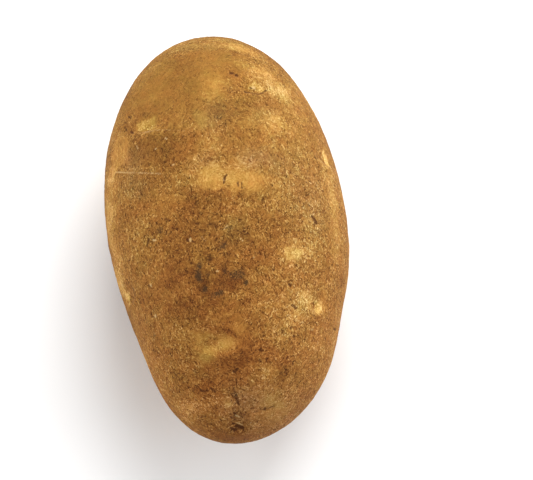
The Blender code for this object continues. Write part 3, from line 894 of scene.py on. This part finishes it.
# Tones of the smooth golden skin, likewise
GOLD_TONES = (
    (0.00, (112, 72, 26)),
    (0.30, (146, 100, 40)),
    (0.50, (164, 117, 51)),
    (0.70, (186, 140, 68)),
    (1.00, (228, 185, 112)),
)
# What the most olive, the reddest and the dustiest skin is multiplied by
OLIVE_TINT = (0.92, 1.04, 0.95, 1.0)
RED_TINT = (1.04, 0.90, 0.89, 1.0)
DUST_TINT = (0.96, 1.03, 1.50, 1.0)
# Display colours of the marks, and how strongly each covers the skin
MARKS = {
    "film of soil": ((98, 76, 46), 0.4),
    "speck of soil": ((64, 44, 24), 0.85),
    # The crack colour also paints the shadows beside chips and the shade in dents and under a brow
    "crack_and_painted_shadow": ((76, 40, 16), 0.9),
    "chip": ((214, 178, 120), 0.75),
}

# Cells or blots to the metre of each pattern in the skin
SCALES = {
    "flecks": 1500.0,
    "grain": 2400.0,
    "creases": 640.0,
    "wobble of rings": 420.0,
    "clouds": 140.0,
    "hue": 300.0,
    "bud dots": 1250.0,
}
# The cork's middle tone, and how much each pattern changes it
MIDDLE_TONE = 0.515
TONE_SHARES = {
    "flecks": 0.26,
    "grain": 0.40,
    "creases": -0.14,
    "clouds": 0.40,
    "rings": 0.04,
}
# How much each pattern changes the height of the fine bump, where the flecks' share is 1
HEIGHT_SHARES = {
    "grain": 0.8,
    "creases": -0.5,
    "tears": 2.0,
    "rings": 0.15,
}
BUMP_STRENGTH = 0.6
BUMP_DEPTH = 0.2 * MM
# Smooth skin loses this share of the cork's pattern
CALM_PATTERN = 0.75
# Torn edges follow the outlines of noise: its blots to the metre, how they lean in degrees, their strength
TEARS = (
    (1900.0, -40, 0.29),
    (1700.0, 25, 0.29),
    (1000.0, 75, 0.16),
)
TEAR_STRETCH = 3.0
TEAR_WIDTH = 0.15
# Coarser noise, with this share of the blots, breaks them up: no edge below the first, all above the second
BREAK_SHARE = 0.8
BREAK_EDGE = (0.42, 0.60)
# Rings round an eye lie this far apart, in half widths of the eye, and wobble by this many radians
RING_SPACING = 0.15
RING_WOBBLE = 12.0
# They begin at the first of these half widths from the eye's middle and are full at the second
RING_FADE = (1.7, 0.9)
# Tones that the dots of folded buds add, from the middle of a dot to its edge
BUD_DOT_TONES = (0.14, -0.34)
# How far chance turns the skin's hue from olive to red
HUE_SWING = 1.1
# How far the grain breaks up soil into specks, and frays the edges of cracks, painted shadows and chips
SPECK_SWING = 3.0
MARK_FRAY = 0.8
# Strengths of soil at which its specks and its spread begin and are full
SPECK_EDGE = (0.38, 0.55)
SOIL_EDGE = (0.1, 0.3)
# The colour of each crack, painted shadow and chip goes from this far outside its edge to this far inside,
# in millimetres
MARK_EDGE = (0.20, -0.25)
SKIN_ROUGHNESS = 0.85
SKIN_SHINE = 0.12


def linear(red, green, blue):
    """A display colour of 0 to 255 as the shader's linear colour."""
    share = np.array([red, green, blue]) / 255
    return (*np.where(share <= 0.04045, share / 12.92, ((share + 0.055) / 1.055) ** 2.4), 1.0)


def add_node(tree, kind, settings=None, **inputs):
    """A shader node with its settings and its inputs, which are values or other nodes' outputs.

    An input goes by its name, with _ for a space, or by i and its number.
    """
    node = tree.nodes.new(kind)
    for name, value in (settings or {}).items():
        setattr(node, name, value)
    for name, value in inputs.items():
        socket = node.inputs[int(name[1:]) if name[1:].isdigit() else name.replace("_", " ")]
        if isinstance(value, bpy.types.NodeSocket):
            tree.links.new(value, socket)
        else:
            socket.default_value = value
    return node


def mixed(tree, share, under, over, blend="MIX"):
    """A share of one colour over another."""
    settings = {"data_type": "RGBA", "blend_type": blend}
    return add_node(tree, "ShaderNodeMix", settings, i0=share, i6=under, i7=over).outputs[2]


def marked(tree, share, under, mark):
    """A share of a mark's colour over a colour."""
    over, cover = MARKS[mark]
    return mixed(tree, arithmetic(tree, "MULTIPLY", share, cover), under, linear(*over))


def arithmetic(tree, operation, first, second=0.0, third=0.0):
    """One step of arithmetic on two or three numbers."""
    settings = {"operation": operation}
    return add_node(tree, "ShaderNodeMath", settings, i0=first, i1=second, i2=third).outputs[0]


def with_swing(tree, value, strength, base=0.0):
    """A base plus a strength times how far a value lies above a half."""
    swing = arithmetic(tree, "SUBTRACT", value, 0.5)
    return arithmetic(tree, "MULTIPLY_ADD", swing, strength, base)


def step_between(tree, value, low, high, least=0.0, most=1.0):
    """An even S from the least to the most while the value goes from low to high."""
    settings = {"interpolation_type": "SMOOTHSTEP"}
    bounds = {"i1": low, "i2": high, "i3": least, "i4": most}
    return add_node(tree, "ShaderNodeMapRange", settings, i0=value, **bounds).outputs[0]


def ramp(tree, tone, tones):
    """The colour of a tone, blended evenly between display colours at their tones."""
    node = add_node(tree, "ShaderNodeValToRGB", Fac=tone)
    while len(node.color_ramp.elements) < len(tones):
        node.color_ramp.elements.new(0.5)
    for element, (position, colour) in zip(node.color_ramp.elements, tones):
        element.position = position
        element.color = linear(*colour)
    return node.outputs["Color"]


def noise(tree, place, scale, **more):
    """Smooth noise from 0 to 1, with so many blots to the metre."""
    return add_node(tree, "ShaderNodeTexNoise", Vector=place, Scale=scale, **more).outputs["Fac"]


def torn_edges(tree, place):
    """Short curled edges of cork, each with a painted highlight on the lip on the one side and painted shade
    in the crevice on the other.

    Along the outlines of stretched noise the tone follows one full wave, broken up by more noise.
    """
    torn_relief_and_shading = 0.0
    for scale, lean, strength in TEARS:
        turned = add_node(
            tree,
            "ShaderNodeMapping",
            {"vector_type": "TEXTURE"},
            Vector=place,
            Rotation=(0.0, 0.0, math.radians(lean)),
            Scale=(1.0, TEAR_STRETCH, 1.0),
        ).outputs[0]
        curl = noise(tree, turned, scale, Detail=1.0, Distortion=0.7)
        broken = step_between(tree, noise(tree, turned, BREAK_SHARE * scale, Detail=1.0), *BREAK_EDGE)
        across = step_between(tree, curl, 0.5 - TEAR_WIDTH, 0.5 + TEAR_WIDTH, -math.pi, math.pi)
        tear = arithmetic(tree, "MULTIPLY", arithmetic(tree, "SINE", across), broken)
        torn_relief_and_shading = arithmetic(tree, "MULTIPLY_ADD", tear, strength, torn_relief_and_shading)
    return torn_relief_and_shading


def skin_material():
    """Flakes, creases, torn edges and rings of cork in tones of brown, with the marks over them."""
    skin = bpy.data.materials.new("russet_skin")
    skin.use_nodes = True
    tree = skin.node_tree
    shader = tree.nodes["Principled BSDF"]

    def mask(name):
        """One of the mesh's masks."""
        return add_node(tree, "ShaderNodeAttribute", {"attribute_name": name}).outputs["Fac"]

    place = add_node(tree, "ShaderNodeTexCoord").outputs["Object"]
    stretched = add_node(tree, "ShaderNodeMapping", Vector=place, Scale=PATTERN_STRETCH).outputs[0]

    # Flakes of cork, each lighter or darker than the next, with finer grain over them and creases between
    fleck = add_node(tree, "ShaderNodeTexVoronoi", Vector=stretched, Scale=SCALES["flecks"])
    fleck_chance = add_node(tree, "ShaderNodeSeparateColor", i0=fleck.outputs["Color"]).outputs[0]
    fleck_dome = step_between(tree, fleck.outputs["Distance"], 0.65, 0.15)
    fleck_tone = with_swing(tree, fleck_chance, fleck_dome)
    grain = noise(tree, stretched, SCALES["grain"], Detail=2.0, Roughness=0.7, Distortion=0.6)
    crease_noise = noise(tree, stretched, SCALES["creases"], Detail=3.0, Roughness=0.6, Distortion=1.2)
    crease_miss = arithmetic(tree, "ABSOLUTE", arithmetic(tree, "SUBTRACT", crease_noise, 0.5))
    crease = step_between(tree, crease_miss, 0.05, 0.0)
    torn_relief_and_shading = torn_edges(tree, place)
    roughness = arithmetic(tree, "MULTIPLY_ADD", mask("calm"), -CALM_PATTERN, 1.0)
    cork = arithmetic(tree, "MULTIPLY", fleck_tone, TONE_SHARES["flecks"])
    cork = with_swing(tree, grain, TONE_SHARES["grain"], cork)
    cork = arithmetic(tree, "MULTIPLY_ADD", crease, TONE_SHARES["creases"], cork)
    # The torn edges' wave paints a highlight on each lip and shade in each crevice
    cork = arithmetic(tree, "ADD", cork, torn_relief_and_shading)
    # Dark tones, the painted shade of crevices among them, go further than pale ones, the painted highlights
    # of lips among them
    cork = arithmetic(tree, "MULTIPLY", cork, arithmetic(tree, "MULTIPLY_ADD", cork, -0.5, 1.0))
    tone = arithmetic(tree, "MULTIPLY_ADD", cork, roughness, MIDDLE_TONE)

    cloudy = noise(tree, place, SCALES["clouds"], Detail=4.0, Roughness=0.6)
    cloud = with_swing(tree, cloudy, step_between(tree, roughness, 0.1, 1.0))
    tone = arithmetic(tree, "MULTIPLY_ADD", cloud, TONE_SHARES["clouds"], tone)
    # The paleness mask brings in paler and darker skin, and with it painted shade and painted rim light
    tone = arithmetic(tree, "ADD", tone, mask("paleness_and_painted_light"))

    # Rings round the eyes
    wobble = noise(tree, place, SCALES["wobble of rings"], Detail=1.0)
    ring_turns = arithmetic(tree, "MULTIPLY", mask("ring"), 2 * math.pi / RING_SPACING)
    ring_turns = arithmetic(tree, "MULTIPLY_ADD", wobble, RING_WOBBLE, ring_turns)
    ring_share = step_between(tree, mask("ring"), *RING_FADE)
    rings = arithmetic(tree, "MULTIPLY", arithmetic(tree, "SINE", ring_turns), ring_share)
    tone = arithmetic(tree, "MULTIPLY_ADD", rings, TONE_SHARES["rings"], tone)

    # Crowded dots of the folded buds in the middle of an eye
    dots = {"Scale": SCALES["bud dots"], "Randomness": 0.8}
    bud_dots = add_node(tree, "ShaderNodeTexVoronoi", Vector=place, **dots)
    dotted = step_between(tree, bud_dots.outputs["Distance"], 0.25, 0.65, *BUD_DOT_TONES)
    tone = arithmetic(tree, "MULTIPLY_ADD", mask("bud"), dotted, tone)

    colour = mixed(tree, mask("golden"), ramp(tree, tone, CORK_TONES), ramp(tree, tone, GOLD_TONES))
    hue = noise(tree, place, SCALES["hue"], Detail=2.0, Roughness=0.6)
    redness = arithmetic(tree, "MULTIPLY_ADD", mask("red"), 0.5, 0.5)
    redness = with_swing(tree, hue, HUE_SWING, redness)
    colour = mixed(tree, 1.0, colour, mixed(tree, redness, OLIVE_TINT, RED_TINT), "MULTIPLY")
    colour = mixed(tree, mask("dust"), colour, DUST_TINT, "MULTIPLY")

    # Soil lies as a thin film with darker specks, and the edges of cracks, painted shadows and chips follow
    # the grain
    specks = step_between(tree, with_swing(tree, grain, SPECK_SWING, mask("soil")), *SPECK_EDGE)
    soiled = arithmetic(tree, "MULTIPLY", specks, step_between(tree, mask("soil"), *SOIL_EDGE))
    colour = marked(tree, mask("soil"), colour, "film of soil")
    colour = marked(tree, soiled, colour, "speck of soil")
    for mark in ("crack_and_painted_shadow", "chip"):
        frayed = with_swing(tree, grain, MARK_FRAY, mask(mark))
        colour = marked(tree, step_between(tree, frayed, *MARK_EDGE), colour, mark)
    tree.links.new(colour, shader.inputs["Base Color"])

    grain_height = arithmetic(tree, "MULTIPLY", grain, HEIGHT_SHARES["grain"])
    height = arithmetic(tree, "MULTIPLY_ADD", fleck_chance, fleck_dome, grain_height)
    height = arithmetic(tree, "MULTIPLY_ADD", crease, HEIGHT_SHARES["creases"], height)
    height = arithmetic(tree, "MULTIPLY_ADD", torn_relief_and_shading, HEIGHT_SHARES["tears"], height)
    height = arithmetic(tree, "MULTIPLY", height, roughness)
    height = arithmetic(tree, "MULTIPLY_ADD", rings, HEIGHT_SHARES["rings"], height)
    bump = add_node(tree, "ShaderNodeBump", Strength=BUMP_STRENGTH, Distance=BUMP_DEPTH, Height=height)
    tree.links.new(bump.outputs["Normal"], shader.inputs["Normal"])
    shader.inputs["Roughness"].default_value = SKIN_ROUGHNESS
    shader.inputs["Specular IOR Level"].default_value = SKIN_SHINE
    return skin


def make_skin():
    """The skin as one closed mesh, with its flat map and a mask for each kind of mark."""
    mesh = bpy.data.meshes.new("potato_skin")
    mesh.from_pydata(skin_points, [], facets)
    mesh.shade_smooth()
    places = mesh.uv_layers.new(name="OFBake")
    places.data.foreach_set("uv", flat_map.ravel())
    masks = {
        "paleness_and_painted_light": paleness_and_painted_light,
        "golden": golden,
        "calm": calm,
        "red": red,
        "dust": dust,
        "soil": soil,
        "crack_and_painted_shadow": crack_and_painted_shadow,
        "chip": chip,
        "ring": ring,
        "bud": in_bud,
    }
    for name, values in masks.items():
        mesh.attributes.new(name, "FLOAT", "POINT").data.foreach_set("value", values)
    mesh.materials.append(skin_material())
    skin = bpy.data.objects.new("potato_skin", mesh)
    bpy.context.scene.collection.objects.link(skin)
    return skin


potato_skin = make_skin()
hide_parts("tuber")
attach(potato_skin, "root")

# The studio
# A plain pale floor in an even pale surround, a large soft light above and past the bud end, and two
# long soft lights low on either side, which brighten the potato's flanks.

FLOOR_SIZE = 6.0
FLOOR_COLOUR = (0.9, 0.9, 0.9, 1.0)
FLOOR_ROUGHNESS = 0.9
SURROUND_COLOUR = (1.0, 1.0, 1.0, 1.0)
SURROUND_STRENGTH = 0.50
# Soft lights: where they stand, width, height, power in watts
SOFT_LIGHTS = {
    "key": ((0.25, 0.80, 0.85), 0.80, 0.80, 14.0),
    "left": ((-0.95, 0.10, 0.35), 1.20, 0.50, 7.0),
    "right": ((0.95, 0.15, 0.40), 1.20, 0.50, 8.0),
}


def make_floor():
    """One matt square, level with the resting spot."""
    half = FLOOR_SIZE / 2
    corners = [(-half, -half, 0), (half, -half, 0), (half, half, 0), (-half, half, 0)]
    mesh = bpy.data.meshes.new("floor")
    mesh.from_pydata(corners, [], [(0, 1, 2, 3)])
    paint = bpy.data.materials.new("floor")
    paint.use_nodes = True
    shader = paint.node_tree.nodes["Principled BSDF"]
    shader.inputs["Base Color"].default_value = FLOOR_COLOUR
    shader.inputs["Roughness"].default_value = FLOOR_ROUGHNESS
    shader.inputs["Specular IOR Level"].default_value = 0.0
    mesh.materials.append(paint)
    floor = bpy.data.objects.new("floor", mesh)
    bpy.context.scene.collection.objects.link(floor)


def make_soft_light(name, place, width, height, power):
    """A rectangle of light that faces the potato."""
    data = bpy.data.lights.new(name, "AREA")
    data.shape = "RECTANGLE"
    data.size = width
    data.size_y = height
    data.energy = power
    light = bpy.data.objects.new(name, data)
    light.location = place
    light.rotation_euler = Vector(place).to_track_quat("Z", "Y").to_euler()
    bpy.context.scene.collection.objects.link(light)


def make_surround():
    """Even light from all sides."""
    surround = bpy.data.worlds.new("surround")
    surround.use_nodes = True
    background = surround.node_tree.nodes["Background"]
    background.inputs["Color"].default_value = SURROUND_COLOUR
    background.inputs["Strength"].default_value = SURROUND_STRENGTH
    bpy.context.scene.world = surround


make_floor()
for light_name, setting in SOFT_LIGHTS.items():
    make_soft_light(light_name, *setting)
make_surround()
bpy.context.scene.view_settings.view_transform = "Standard"
